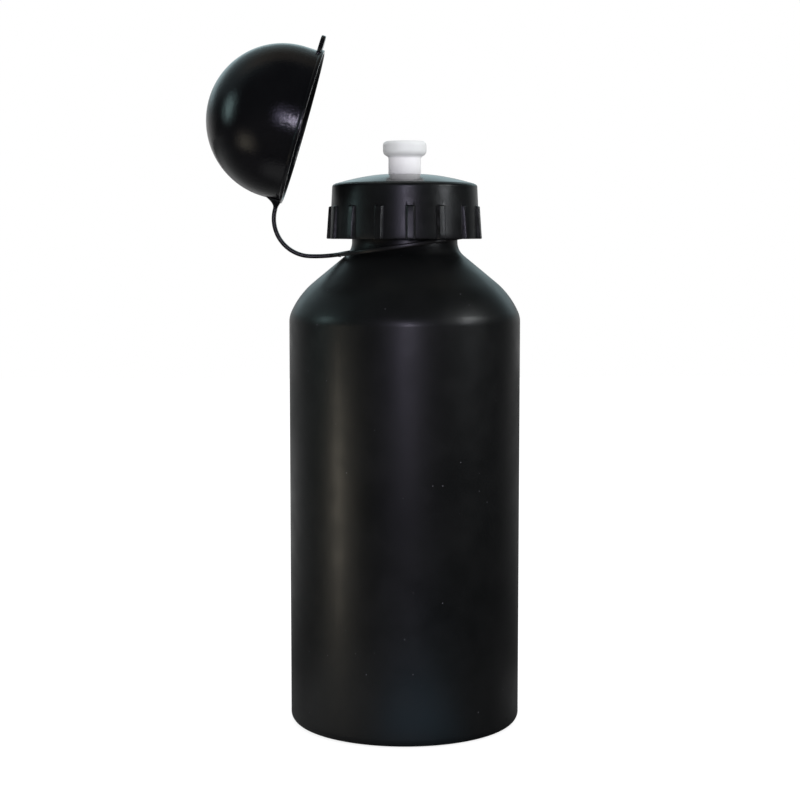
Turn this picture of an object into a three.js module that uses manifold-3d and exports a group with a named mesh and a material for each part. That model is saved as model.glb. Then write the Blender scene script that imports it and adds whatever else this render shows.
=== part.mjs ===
// Aluminium sports bottle with a screw cap, a push-pull nozzle and a tethered dome cover.
// Millimetres. The bottle stands on z = 0 with its axis along Z, and the tether leaves it along -X.
import * as THREE from "three";
import { mergeVertices } from "three/addons/utils/BufferGeometryUtils.js";
import Module from "manifold-3d";

const wasm = await Module();
wasm.setup();

// Driving dimensions

const gap = {
  seat: 0.3, // between two pieces that rest on each other
  running: 0.3, // between two pieces that slide or turn
  thread: 0.6, // between the neck's thread and the cap's sleeve
};

const bottle = {
  radius: 33,
  wall: 0.9,
  footEdge: 2.5,
  footWidth: 5.5,
  baseRise: 3.2,
  baseLip: 1.2,
  wallTop: 115.7,
  edgeRound: 7,
  edgeTurn: 24,
  shoulderRound: 23,
  shoulderTurn: 50.5,
  neckFillet: 5,
  neckRadius: 15.05,
  lipRound: 0.9,
};

const thread = {
  pitch: 4,
  ridge: 0.95, // section radius of the neck's rolled ridge
  proud: 1.15, // of the neck's ridge beyond the neck
  turns: 1.5,
  drop: 2, // of its end below the bottle's lip
  capRidge: 0.9,
  capTurns: 1.2,
};

const gasket = {
  reach: 2.65, // from the neck's outside towards the axis
  thickness: 1.5,
};

const cap = {
  height: 15.5,
  rise: 0.9, // of the skirt's end above the foot of the neck
  sleeveWall: 1.6,
  skirtSpace: 1.2, // between the threaded sleeve and the skirt
  skirtWall: 1.7, // at the skirt's end
  taper: 0.65, // of the skirt's outside from its end to the top
  edgeRound: 0.9,
  plate: 1.8,
  coneRise: 2.5,
  sleeveRise: 2.1, // of the threaded sleeve's end above the skirt's
  hollowEdge: 0.2, // from the gasket's bore to the hollow under the plate
  hollowDepth: 1.1,
};

const rib = {
  count: 15,
  width: 2.1,
  length: 9.2,
  proudTop: 0.75,
  proudBottom: 1.0,
  firstAngle: 8,
  bite: 0.3, // left of the skirt's wall behind the rib's foot
};

const nozzle = {
  stemRadius: 4.62,
  headProud: 1.57, // of the head beyond the stem
  headHeight: 4.35,
  headTop: 9.6, // above the cap's crown
  underRound: 1.7,
  topRound: 1.25,
  seatDepth: 1.25,
  wall: 0.72,
  lipHeight: 1.2,
  lipChamfer: 0.3,
  holeRadius: 1.9,
  holeLength: 1.8,
  travel: 4.5,
};

const post = {
  radius: 2.9,
  bore: 1.9,
  beadProud: 0.7,
  beadHeight: 0.6,
  windowWidth: 1.6,
  windowHeight: 2.4,
  windowDrop: 0.3, // below the bead
  tipLength: 1.4, // above the bead
  roof: 0.6,
};

const ring = {
  slack: 2.95, // between the neck and the ring's bore
  width: 1.4,
  thickness: 1.2,
  tilt: 8.3,
  drop: 0.8, // of its middle below the foot of the neck
};

const strap = {
  thickness: 1.2,
  width: 5,
  links: 5,
  nearRound: 43,
  nearTurn: 10.56,
  farRound: 10.54,
  firstHinge: 0.52, // along the strap from the ring's edge
  lastHinge: 26.31,
  reach: 0.75, // from a hinge to the centre of the round end beside it
};

const dome = {
  lean: 16.3, // of the open rim from upright
  play: 0.7, // of the skirt round the cap's top
  shellWall: 0.5, // of the dome beyond the skirt's bore
  wall: 0.75,
  skirtHeight: 5.8,
  skirtProud: 0.15, // of the skirt beyond the dome
  rimProud: 0.45, // of the rim beyond the dome
  rimHeight: 0.9,
  rimFillet: 0.3,
  leadIn: 0.25,
  rootReach: 2.29, // from the dome to the strap's end
  rootRise: 1.33, // of the strap's middle above the rim
  rootHeight: 4.9,
  bite: 0.3, // left of the skirt's wall behind the root and the tab
  tabReach: 4.4, // beyond the rim
  tabWidth: 9,
  tabFlare: 4, // radius of the fillets between the tab and the rim
  tabThickness: 1.15,
  tabRise: 0.85,
};

const segments = {
  bottle: 64,
  cap: 60,
  dome: 48,
  ring: 60,
  nozzle: 32,
  gasket: 48,
  thread: 32,
  link: 4,
};
const overrun = 1; // how far a cutting tool or a joined foot runs past a face

// Radii that follow from the sizes above

const reach = {};
reach.thread = bottle.neckRadius + thread.proud;
reach.sleeveInner = reach.thread + gap.thread;
reach.sleeveOuter = reach.sleeveInner + cap.sleeveWall;
reach.skirtInner = reach.sleeveOuter + cap.skirtSpace;
reach.skirtEnd = reach.skirtInner + cap.skirtWall;
reach.capTop = reach.skirtEnd - cap.taper;
reach.gasket = bottle.neckRadius - gasket.reach;
reach.hollow = reach.gasket - cap.hollowEdge;
reach.ringInner = bottle.neckRadius + ring.slack;
reach.ringOuter = reach.ringInner + ring.width;
reach.nozzleHead = nozzle.stemRadius + nozzle.headProud;
reach.coverInner = reach.capTop + dome.play;
reach.dome = reach.coverInner + dome.shellWall;
reach.coverOuter = reach.dome + dome.skirtProud;
reach.rim = reach.dome + dome.rimProud;
reach.root = reach.dome + dome.rootReach;

// Heights that follow from the sizes above

const degrees = THREE.MathUtils.degToRad;

function polar(centre, radius, angle) {
  return new THREE.Vector2(
    centre.x + radius * Math.cos(degrees(angle)),
    centre.y + radius * Math.sin(degrees(angle)),
  );
}

// The shoulder is two tangent convex arcs, a cone and the neck's concave fillet.
const edgeCentre = new THREE.Vector2(bottle.radius - bottle.edgeRound, bottle.wallTop);
const shoulderCentre = polar(
  edgeCentre,
  bottle.edgeRound - bottle.shoulderRound,
  bottle.edgeTurn,
);
const shoulderEnd = polar(shoulderCentre, bottle.shoulderRound, bottle.shoulderTurn);
const coneSin = Math.sin(degrees(bottle.shoulderTurn));
const coneCos = Math.cos(degrees(bottle.shoulderTurn));
const filletAxis = bottle.neckRadius + bottle.neckFillet;
const coneLength = (shoulderEnd.x + bottle.neckFillet * coneCos - filletAxis) / coneSin;
const neckFoot = shoulderEnd.y + coneLength * coneCos + bottle.neckFillet * coneSin;
const filletCentre = new THREE.Vector2(filletAxis, neckFoot);

// The neck is as long as the cap needs, so the cap's skirt ends above the ring.
const level = {};
level.skirtEnd = neckFoot + cap.rise;
level.sleeveEnd = level.skirtEnd + cap.sleeveRise;
level.capEdge = level.skirtEnd + cap.height;
level.capCrown = level.capEdge + cap.coneRise;
level.ceiling = level.capEdge - cap.plate;
level.gasket = level.ceiling - gap.seat - gasket.thickness;
level.lipTop = level.gasket - gap.seat;
level.thread = level.lipTop - thread.drop - thread.pitch * thread.turns;
level.nozzleFoot = level.capCrown - nozzle.seatDepth;
level.wellFloor = level.nozzleFoot - gap.seat;
level.nozzleTop = level.capCrown + nozzle.headTop;
level.nozzleLip = level.nozzleFoot + nozzle.lipHeight;
level.ring = neckFoot - ring.drop;

// Building blocks

function arc(centre, radius, from, to, steps) {
  const points = [];
  for (let i = 0; i <= steps; i += 1) {
    points.push(polar(centre, radius, from + ((to - from) * i) / steps));
  }
  return points;
}

function solid(geometry) {
  geometry.deleteAttribute("normal");
  geometry.deleteAttribute("uv");
  const merged = mergeVertices(geometry);
  return new wasm.Manifold(
    new wasm.Mesh({
      numProp: 3,
      vertProperties: merged.attributes.position.array,
      triVerts: new Uint32Array(merged.index.array),
    }),
  );
}

function geometryOf(body) {
  const mesh = body.getMesh();
  const geometry = new THREE.BufferGeometry();
  geometry.setAttribute("position", new THREE.BufferAttribute(mesh.vertProperties, 3));
  geometry.setIndex(new THREE.BufferAttribute(mesh.triVerts, 1));
  geometry.computeVertexNormals();
  return geometry;
}

// Turns a profile of (radius, height) points round Z.
function turned(profile, count) {
  const geometry = new THREE.LatheGeometry(profile, count);
  geometry.rotateX(Math.PI / 2);
  return geometry;
}

// Sweeps a round ridge up a right-hand helix.
function ridge(radius, section, foot, turns) {
  class Helix extends THREE.Curve {
    getPoint(t, target = new THREE.Vector3()) {
      const angle = 2 * Math.PI * turns * t;
      const height = foot + thread.pitch * turns * t;
      return target.set(radius * Math.cos(angle), radius * Math.sin(angle), height);
    }
  }
  const shape = new THREE.Shape(arc(new THREE.Vector2(), section, 0, 360 - 45, 7));
  const path = { extrudePath: new Helix(), steps: Math.ceil(turns * segments.thread) };
  return new THREE.ExtrudeGeometry(shape, path);
}

// A flat outline in the XZ plane, given its width along Y.
function plate(points, width) {
  const geometry = new THREE.ExtrudeGeometry(new THREE.Shape(points), {
    depth: width,
    bevelEnabled: false,
  });
  geometry.translate(0, 0, -width / 2);
  geometry.rotateX(Math.PI / 2);
  return geometry;
}

function named(name, geometry, material) {
  const mesh = new THREE.Mesh(geometry, material);
  mesh.name = name;
  return mesh;
}

const finish = {
  lacquer: new THREE.MeshStandardMaterial({ color: 0x1c1c1f, roughness: 0.5, metalness: 0.2 }),
  capPlastic: new THREE.MeshStandardMaterial({ color: 0x1f2122, roughness: 0.45, metalness: 0 }),
  softPlastic: new THREE.MeshStandardMaterial({ color: 0x17171a, roughness: 0.35, metalness: 0 }),
  nozzlePlastic: new THREE.MeshStandardMaterial({ color: 0xe8e5e8, roughness: 0.5, metalness: 0 }),
  seal: new THREE.MeshStandardMaterial({ color: 0xd8d8d4, roughness: 0.7, metalness: 0 }),
};

// Bottle shell: the outer surface has an inset of zero and the inner one of the wall

function shellSide(inset) {
  const footCentre = new THREE.Vector2(bottle.radius - bottle.footEdge, bottle.footEdge);
  return [
    ...arc(footCentre, bottle.footEdge - inset, -90, 0, 5),
    ...arc(edgeCentre, bottle.edgeRound - inset, 0, bottle.edgeTurn, 3),
    ...arc(shoulderCentre, bottle.shoulderRound - inset, bottle.edgeTurn, bottle.shoulderTurn, 4).slice(1),
    ...arc(filletCentre, bottle.neckFillet + inset, 180 + bottle.shoulderTurn, 180, 4),
  ];
}

function shellBase(inset) {
  const hollow = bottle.radius - bottle.footEdge - bottle.footWidth;
  const span = hollow - bottle.baseLip;
  const round = (span * span + bottle.baseRise * bottle.baseRise) / (2 * bottle.baseRise);
  const half = THREE.MathUtils.radToDeg(Math.asin(span / round));
  const centre = new THREE.Vector2(0, bottle.baseRise - round);
  const crown = arc(centre, round + inset, 90, 90 - half, 5);
  return [...crown, new THREE.Vector2(hollow, inset)];
}

function bottleShell() {
  const lipCentre = new THREE.Vector2(
    bottle.neckRadius - bottle.wall / 2,
    level.lipTop - bottle.lipRound,
  );
  const lip = arc(lipCentre, bottle.lipRound, -45, 225, 8);
  const profile = [
    ...shellBase(0),
    ...shellSide(0),
    ...lip,
    ...shellSide(bottle.wall).reverse(),
    ...shellBase(bottle.wall).reverse(),
  ];
  const shell = solid(turned(profile, segments.bottle));
  const rolled = ridge(reach.thread - thread.ridge, thread.ridge, level.thread, thread.turns);
  return geometryOf(shell.add(solid(rolled)));
}

// Screw cap: skirt, threaded sleeve, domed plate and the post with its sealing pin

function capWall(height) {
  const share = (height - level.skirtEnd) / cap.height;
  return reach.skirtEnd - cap.taper * share;
}

function capBody() {
  const edgeCentre = new THREE.Vector2(
    reach.capTop - cap.edgeRound,
    level.capEdge - cap.edgeRound,
  );
  const well = nozzle.stemRadius + gap.running;
  const pin = nozzle.holeRadius - gap.running;
  const pinTop = level.nozzleTop - gap.seat;
  const beadTop = level.nozzleLip + nozzle.travel + gap.seat + post.beadHeight;
  const bead = post.radius + post.beadProud;
  const postTop = beadTop + post.tipLength;
  const roof = postTop - post.roof;
  const hollowTop = level.ceiling + cap.hollowDepth;
  const profile = [
    [0, pinTop],
    [pin, pinTop],
    [pin, postTop + post.radius - pin],
    [post.radius, postTop],
    [post.radius, beadTop + post.beadProud],
    [bead, beadTop],
    [bead, beadTop - post.beadHeight],
    [post.radius, beadTop - post.beadHeight],
    [post.radius, level.wellFloor],
    [well, level.wellFloor],
    [well, level.capCrown],
    ...arc(edgeCentre, cap.edgeRound, 80, 0, 4).map((p) => [p.x, p.y]),
    [reach.skirtEnd, level.skirtEnd],
    [reach.skirtInner, level.skirtEnd],
    [reach.skirtInner, level.ceiling],
    [reach.sleeveOuter, level.ceiling],
    [reach.sleeveOuter, level.sleeveEnd],
    [reach.sleeveInner, level.sleeveEnd],
    [reach.sleeveInner, level.ceiling],
    [reach.hollow, level.ceiling],
    [reach.hollow - cap.hollowDepth, hollowTop],
    [post.bore, hollowTop],
    [post.bore, roof],
    [0, roof],
  ];
  const points = profile.map(([r, z]) => new THREE.Vector2(r, z)).reverse();
  const body = solid(turned(points, segments.cap));
  const slot = new THREE.BoxGeometry(post.windowWidth, 2 * (post.radius + overrun), post.windowHeight);
  slot.translate(0, 0, beadTop - post.beadHeight - post.windowDrop - post.windowHeight / 2);
  return body.subtract(solid(slot));
}

function capRib(angle) {
  const top = level.skirtEnd + rib.length;
  const foot = reach.skirtInner + rib.bite;
  const outline = [
    [foot, level.skirtEnd],
    [reach.skirtEnd + rib.proudBottom, level.skirtEnd],
    [capWall(top) + rib.proudTop, top],
    [foot, top],
  ];
  const geometry = plate(outline.map(([x, z]) => new THREE.Vector2(x, z)), rib.width);
  geometry.rotateZ(degrees(angle));
  return geometry;
}

function screwCap() {
  let body = capBody();
  for (let i = 0; i < rib.count; i += 1) {
    const angle = rib.firstAngle + (360 * i) / rib.count;
    body = body.add(solid(capRib(angle)));
  }
  const foot = level.thread + thread.pitch / 2;
  return geometryOf(body.add(solid(ridge(reach.sleeveInner, thread.capRidge, foot, thread.capTurns))));
}

// Gasket between the bottle's lip and the cap

function capGasket() {
  const outer = reach.sleeveInner - gap.running;
  const top = level.gasket + gasket.thickness;
  const profile = [
    [reach.gasket, level.gasket],
    [outer, level.gasket],
    [outer, top],
    [reach.gasket, top],
    [reach.gasket, level.gasket],
  ];
  return turned(profile.map(([r, z]) => new THREE.Vector2(r, z)), segments.gasket);
}

// Nozzle: a sleeve with a mushroom head, held by the bead on the post

function pullNozzle() {
  const lip = post.radius + gap.running;
  const bore = nozzle.stemRadius - nozzle.wall;
  const headFoot = level.nozzleTop - nozzle.headHeight;
  const boreTop = level.nozzleTop - nozzle.holeLength;
  const under = new THREE.Vector2(
    reach.nozzleHead - nozzle.underRound,
    headFoot + nozzle.underRound,
  );
  const over = new THREE.Vector2(
    reach.nozzleHead - nozzle.topRound,
    level.nozzleTop - nozzle.topRound,
  );
  const profile = [
    new THREE.Vector2(lip, level.nozzleFoot),
    new THREE.Vector2(nozzle.stemRadius, level.nozzleFoot),
    new THREE.Vector2(nozzle.stemRadius, headFoot),
    ...arc(under, nozzle.underRound, -70, 0, 4),
    ...arc(over, nozzle.topRound, 0, 90, 4),
    new THREE.Vector2(nozzle.holeRadius, level.nozzleTop),
    new THREE.Vector2(nozzle.holeRadius, boreTop),
    new THREE.Vector2(bore, boreTop - (bore - nozzle.holeRadius) / 2),
    new THREE.Vector2(bore, level.nozzleLip),
    new THREE.Vector2(lip, level.nozzleLip - nozzle.lipChamfer),
    new THREE.Vector2(lip, level.nozzleFoot),
  ];
  return turned(profile, segments.nozzle);
}

// Tether: a ring round the neck and a strap of short links that bend at round-ended gaps

function tetherRing() {
  const half = ring.thickness / 2;
  const profile = [
    [reach.ringInner, -half],
    [reach.ringOuter, -half],
    [reach.ringOuter, half],
    [reach.ringInner, half],
    [reach.ringInner, -half],
  ];
  return turned(profile.map(([r, z]) => new THREE.Vector2(r, z)), segments.ring);
}

const farTurn = 90 + dome.lean + ring.tilt - strap.nearTurn;
const nearLength = strap.nearRound * degrees(strap.nearTurn);
const strapLength = nearLength + strap.farRound * degrees(farTurn);
const strapStart = new THREE.Vector2(
  -reach.ringOuter * Math.cos(degrees(ring.tilt)),
  level.ring - reach.ringOuter * Math.sin(degrees(ring.tilt)),
);

// Point (x, z) of the strap's middle line, a distance along it from the ring's edge.
function strapPoint(distance) {
  const near = Math.min(distance, nearLength);
  const nearTurn = near / strap.nearRound;
  const heading = -degrees(ring.tilt);
  const point = strapStart.clone();
  point.x -= strap.nearRound * (Math.sin(heading + nearTurn) - Math.sin(heading));
  point.y -= strap.nearRound * (Math.cos(heading + nearTurn) - Math.cos(heading));
  const bend = heading + nearTurn;
  const turn = (distance - near) / strap.farRound;
  point.x -= strap.farRound * (Math.sin(bend + turn) - Math.sin(bend));
  point.y -= strap.farRound * (Math.cos(bend + turn) - Math.cos(bend));
  return point;
}

// Heading of that line in the XZ plane, in degrees from +X.
function strapHeading(distance) {
  const near = Math.min(distance, nearLength);
  const turn = near / strap.nearRound + (distance - near) / strap.farRound;
  return 180 + ring.tilt - THREE.MathUtils.radToDeg(turn);
}

const hingeStep = (strap.lastHinge - strap.firstHinge) / strap.links;

function strapLink(index) {
  const half = strap.thickness / 2;
  const from = strap.firstHinge + index * hingeStep + strap.reach;
  const to = from + hingeStep - 2 * strap.reach;
  const lower = [];
  const upper = [];
  for (let i = 1; i < segments.link; i += 1) {
    const distance = from + ((to - from) * i) / segments.link;
    lower.push(polar(strapPoint(distance), half, strapHeading(distance) + 90));
    upper.push(polar(strapPoint(distance), half, strapHeading(distance) - 90));
  }
  const outline = [
    ...arc(strapPoint(from), half, strapHeading(from) + 270, strapHeading(from) + 90, 6),
    ...lower,
    ...arc(strapPoint(to), half, strapHeading(to) + 90, strapHeading(to) - 90, 6),
    ...upper.reverse(),
  ];
  return plate(outline, strap.width);
}

// Dome cover, built closed: its axis is Z, its rim lies at zero and its strap leaves along -X

// The tab's round end runs into the rim through two fillets that touch both circles.
function tabOutline(inner) {
  const axis = new THREE.Vector2();
  const round = dome.tabWidth / 2;
  const end = new THREE.Vector2(reach.rim + dome.tabReach - round, 0);
  const toAxis = reach.rim + dome.tabFlare;
  const toEnd = round + dome.tabFlare;
  const along = (toAxis * toAxis - toEnd * toEnd + end.x * end.x) / (2 * end.x);
  const fillet = new THREE.Vector2(along, Math.sqrt(toAxis * toAxis - along * along));
  const other = new THREE.Vector2(fillet.x, -fillet.y);
  const rimTurn = THREE.MathUtils.radToDeg(fillet.angle());
  const endTurn = THREE.MathUtils.radToDeg(fillet.clone().sub(end).angle());
  return [
    ...arc(axis, inner, rimTurn, -rimTurn, 6),
    ...arc(other, dome.tabFlare, 180 - rimTurn, 180 - endTurn, 5),
    ...arc(end, round, -endTurn, endTurn, 8).slice(1),
    ...arc(fillet, dome.tabFlare, 180 + endTurn, 180 + rimTurn, 5).slice(1),
  ];
}

function domeCover() {
  const centre = new THREE.Vector2(0, dome.skirtHeight);
  const skirtTop = dome.skirtHeight - dome.wall;
  const innerRadius = reach.dome - dome.wall;
  const profile = [
    ...arc(centre, innerRadius, 90, 3, 11),
    new THREE.Vector2(reach.coverInner, skirtTop),
    new THREE.Vector2(reach.coverInner, 2 * dome.leadIn),
    new THREE.Vector2(reach.coverInner + dome.leadIn, 0),
    new THREE.Vector2(reach.rim, 0),
    new THREE.Vector2(reach.rim, dome.rimHeight),
    new THREE.Vector2(reach.coverOuter, dome.rimHeight + dome.rimFillet),
    ...arc(centre, reach.dome, 0, 90, 12),
  ];
  const shell = solid(turned(profile, segments.dome));
  const inner = reach.coverInner + dome.bite;
  const half = strap.thickness / 2;
  const hingeGap = strapLength - strap.lastHinge;
  const end = new THREE.Vector2(-reach.root - hingeGap + strap.reach, dome.rootRise);
  const base = Math.max(0, dome.rootRise - dome.rootHeight / 2);
  const flare = new THREE.QuadraticBezierCurve(
    new THREE.Vector2(-reach.coverOuter, base + dome.rootHeight),
    new THREE.Vector2(-reach.rim, dome.rootRise + half),
    new THREE.Vector2(-reach.root + half, dome.rootRise + half),
  );
  const root = [
    new THREE.Vector2(-inner, base),
    new THREE.Vector2(-inner, base + dome.rootHeight),
    ...flare.getPoints(5),
    ...arc(end, half, 90, 270, 6),
    new THREE.Vector2(-reach.root + half, dome.rootRise - half),
    new THREE.Vector2(-reach.rim, base),
  ];
  const tab = new THREE.ExtrudeGeometry(new THREE.Shape(tabOutline(inner)), {
    depth: dome.tabThickness,
    bevelEnabled: false,
  });
  tab.translate(0, 0, dome.tabRise);
  return geometryOf(shell.add(solid(plate(root, strap.width))).add(solid(tab)));
}

// Assembly

const assembly = new THREE.Group();
assembly.add(named("bottle_shell", bottleShell(), finish.lacquer));
assembly.add(named("cap_gasket", capGasket(), finish.seal));
assembly.add(named("screw_cap", screwCap(), finish.capPlastic));
assembly.add(named("pull_nozzle", pullNozzle(), finish.nozzlePlastic));

const ringMesh = named("tether_ring", tetherRing(), finish.softPlastic);
ringMesh.position.z = level.ring;
ringMesh.rotation.y = -degrees(ring.tilt);
assembly.add(ringMesh);

for (let i = 0; i < strap.links; i += 1) {
  assembly.add(named("tether_link_" + (i + 1), strapLink(i), finish.softPlastic));
}

const strapEnd = strapPoint(strapLength);
const leanSin = Math.sin(degrees(dome.lean));
const leanCos = Math.cos(degrees(dome.lean));
const domeMesh = named("dome_cover", domeCover(), finish.softPlastic);
domeMesh.position.set(
  strapEnd.x + reach.root * leanSin + dome.rootRise * leanCos,
  0,
  strapEnd.y + reach.root * leanCos - dome.rootRise * leanSin,
);
domeMesh.rotation.y = -degrees(90 - dome.lean);
assembly.add(domeMesh);

// The origin is the middle of the room that the open bottle takes up on a table.
const room = new THREE.Box3().setFromObject(assembly, true);
assembly.position.x = -(room.min.x + room.max.x) / 2;
const part = new THREE.Group();
part.add(assembly);

export default part;
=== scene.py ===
import math

import bmesh
import bpy
import numpy as np
from mathutils import Matrix, Vector


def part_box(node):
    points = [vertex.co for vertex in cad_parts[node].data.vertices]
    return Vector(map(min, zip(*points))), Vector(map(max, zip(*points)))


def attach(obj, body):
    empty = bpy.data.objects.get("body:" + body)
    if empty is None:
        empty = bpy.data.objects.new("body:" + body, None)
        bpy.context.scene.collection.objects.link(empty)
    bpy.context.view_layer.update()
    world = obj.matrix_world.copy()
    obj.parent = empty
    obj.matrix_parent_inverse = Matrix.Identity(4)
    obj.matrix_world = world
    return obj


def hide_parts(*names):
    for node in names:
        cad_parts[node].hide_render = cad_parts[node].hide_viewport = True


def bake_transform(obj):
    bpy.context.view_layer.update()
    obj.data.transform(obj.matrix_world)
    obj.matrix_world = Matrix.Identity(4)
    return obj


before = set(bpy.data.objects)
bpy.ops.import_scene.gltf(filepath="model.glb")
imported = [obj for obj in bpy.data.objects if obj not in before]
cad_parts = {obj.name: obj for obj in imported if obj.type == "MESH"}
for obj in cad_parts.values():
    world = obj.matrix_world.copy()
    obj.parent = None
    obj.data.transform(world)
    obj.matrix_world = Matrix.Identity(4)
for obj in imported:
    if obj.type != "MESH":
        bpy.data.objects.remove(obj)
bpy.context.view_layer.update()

# Lacquered aluminium sports bottle with its dome cover open. Sizes in the dictionaries are in
# millimetres, and angles in degrees.
mm = 0.001
scene = bpy.context.scene
shellLow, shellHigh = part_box("bottle_shell")
axisPlace = Vector(((shellLow.x + shellHigh.x) / 2, 0, 0))  # the bottle's own axis
print("frame loaded, bottle axis at", round(axisPlace.x, 5))


def toLinear(hexColour):
    parts = [int(hexColour[i : i + 2], 16) / 255 for i in (1, 3, 5)]
    return [p / 12.92 if p <= 0.04045 else ((p + 0.055) / 1.055) ** 2.4 for p in parts] + [1.0]


def polar(centre, radius, angle):
    turn = math.radians(angle)
    return (centre[0] + radius * math.cos(turn), centre[1] + radius * math.sin(turn))


def arc(centre, radius, start, end, steps):
    return [polar(centre, radius, start + (end - start) * i / steps) for i in range(steps + 1)]


def between(start, end, steps):
    # points after start, up to and including end
    return [
        tuple(a + (b - a) * i / steps for a, b in zip(start, end)) for i in range(1, steps + 1)
    ]


# the camera that took the picture
cameraFacts = {
    "lens": 81.0,  # on a 36 mm sensor, so 1800 pixels of focal length at 800 wide
    "place": (-0.00794, -0.51522, 0.14199),
    "pitchDown": 5.4235,
    "heading": -2.02,  # turned a little to the right of +Y
    "clip": (0.01, 50.0),
}


def makeCamera():
    data = bpy.data.cameras.new("photoCamera")
    data.lens = cameraFacts["lens"]
    data.sensor_width = 36.0
    data.clip_start, data.clip_end = cameraFacts["clip"]
    camera = bpy.data.objects.new("photoCamera", data)
    scene.collection.objects.link(camera)
    camera.location = cameraFacts["place"]
    camera.rotation_euler = (
        math.radians(90 - cameraFacts["pitchDown"]),
        0,
        math.radians(cameraFacts["heading"]),
    )
    scene.camera = camera


makeCamera()
print("camera placed")

# Nodes are written as lists: a name from this table, or an operation of the Math node, and then its
# values. Each name gives Blender's node, its settings, the sockets of the values, and the output used.
nodeKinds = {
    "spot": ("ShaderNodeTexCoord", {}, [], "Object"),
    "direction": ("ShaderNodeTexCoord", {}, [], "Generated"),
    "rays": ("ShaderNodeLightPath", {}, [], 0),
    "rub": ("ShaderNodeAttribute", {"attribute_name": "rub"}, [], "Fac"),
    "noise": ("ShaderNodeTexNoise", {}, ["Vector", "Scale", "Detail", "Roughness"], 0),
    "cells": ("ShaderNodeTexVoronoi", {}, ["Vector", "Scale"], "Distance"),
    "ease": ("ShaderNodeMapRange", {"interpolation_type": "SMOOTHSTEP"}, range(5), 0),
    "level": ("ShaderNodeMix", {"data_type": "FLOAT"}, [0, 2, 3], 0),
    "colour": ("ShaderNodeMix", {"data_type": "RGBA"}, [0, 6, 7], 2),
    "channels": ("ShaderNodeSeparateColor", {}, [0], 0),
    "axes": ("ShaderNodeSeparateXYZ", {}, [0], 0),
    "point": ("ShaderNodeCombineXYZ", {}, range(3), 0),
    "shift": ("ShaderNodeVectorMath", {"operation": "ADD"}, range(2), 0),
    "distance": ("ShaderNodeVectorMath", {"operation": "DISTANCE"}, range(2), "Value"),
    "bump": ("ShaderNodeBump", {}, ["Height", "Distance", "Normal"], 0),
    "shader": ("ShaderNodeBsdfPrincipled", {}, [], 0),
    "diffuse": ("ShaderNodeBsdfDiffuse", {}, ["Color"], 0),
    "glow": ("ShaderNodeEmission", {}, ["Color", "Strength"], 0),
    "both": ("ShaderNodeAddShader", {}, range(2), 0),
    "either": ("ShaderNodeMixShader", {}, range(3), 0),
    "background": ("ShaderNodeBackground", {}, ["Color", "Strength"], 0),
    "surface": ("ShaderNodeOutputMaterial", {}, ["Surface"], 0),
    "surround": ("ShaderNodeOutputWorld", {}, ["Surface"], 0),
    "count": ("GeometryNodeAttributeDomainSize", {}, ["Geometry"], 0),
    "grid": ("GeometryNodeMeshGrid", {}, ["Vertices X", "Vertices Y"], 0),
    "index": ("GeometryNodeInputIndex", {}, [], 0),
    "position": ("GeometryNodeInputPosition", {}, [], 0),
    "named": ("GeometryNodeInputNamedAttribute", {"data_type": "FLOAT"}, ["Name"], 0),
    "sampled": (
        "GeometryNodeSampleIndex",
        {"data_type": "FLOAT"},
        ["Geometry", "Value", "Index"],
        0,
    ),
    "sampledPlace": (
        "GeometryNodeSampleIndex",
        {"data_type": "FLOAT_VECTOR"},
        ["Geometry", "Value", "Index"],
        0,
    ),
    "store": (
        "GeometryNodeStoreNamedAttribute",
        {"data_type": "FLOAT", "domain": "POINT"},
        ["Geometry", "Name", "Value"],
        0,
    ),
    "move": ("GeometryNodeSetPosition", {}, ["Geometry", "Position"], 0),
    "merge": ("GeometryNodeMergeByDistance", {}, ["Geometry", "Distance"], 0),
    "smooth": ("GeometryNodeSetShadeSmooth", {}, ["Geometry"], 0),
    "realize": ("GeometryNodeRealizeInstances", {}, ["Geometry"], 0),
    "coat": ("GeometryNodeSetMaterial", {}, ["Geometry", "Material"], 0),
}


def addNode(tree, made, kind, *values):
    # a list is a node of its own, and a text is a hex colour or names a node made before, with its
    # output after a dot; a dictionary gives the values by their sockets' names
    plainMath = ("ShaderNodeMath", {"operation": kind}, range(2), 0)
    blenderName, settings, sockets, output = nodeKinds.get(kind, plainMath)
    node = tree.nodes.new(blenderName)
    for label, value in settings.items():
        setattr(node, label, value)
    byName = bool(values) and isinstance(values[0], dict)
    for socket, value in values[0].items() if byName else zip(sockets, values):
        if isinstance(value, list):
            value = addNode(tree, made, *value)
        elif isinstance(value, str) and value.split(".")[0] in made:
            name, _, other = value.partition(".")
            value = made[name].node.outputs[other] if other else made[name]
        elif isinstance(value, str) and value.startswith("#"):
            value = toLinear(value)
        if isinstance(value, bpy.types.NodeSocket):
            tree.links.new(value, node.inputs[socket])
        else:
            node.inputs[socket].default_value = value
    return node.outputs[output] if len(node.outputs) else None


def newMaterial(name, rows, shader):
    # rows name the nodes of the pattern, and shader says what the shader's sockets take
    material = bpy.data.materials.new(name)
    material.use_nodes = True
    tree = material.node_tree
    tree.nodes.clear()
    made = {}
    for label, row in {"spot": ["spot"], **rows}.items():
        made[label] = addNode(tree, made, *row)
    addNode(tree, made, "surface", ["shader", shader])
    return material


def patternScale(size):
    # for a pattern whose grains or cells are about size millimetres wide
    return 1 / (size * mm)


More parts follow.
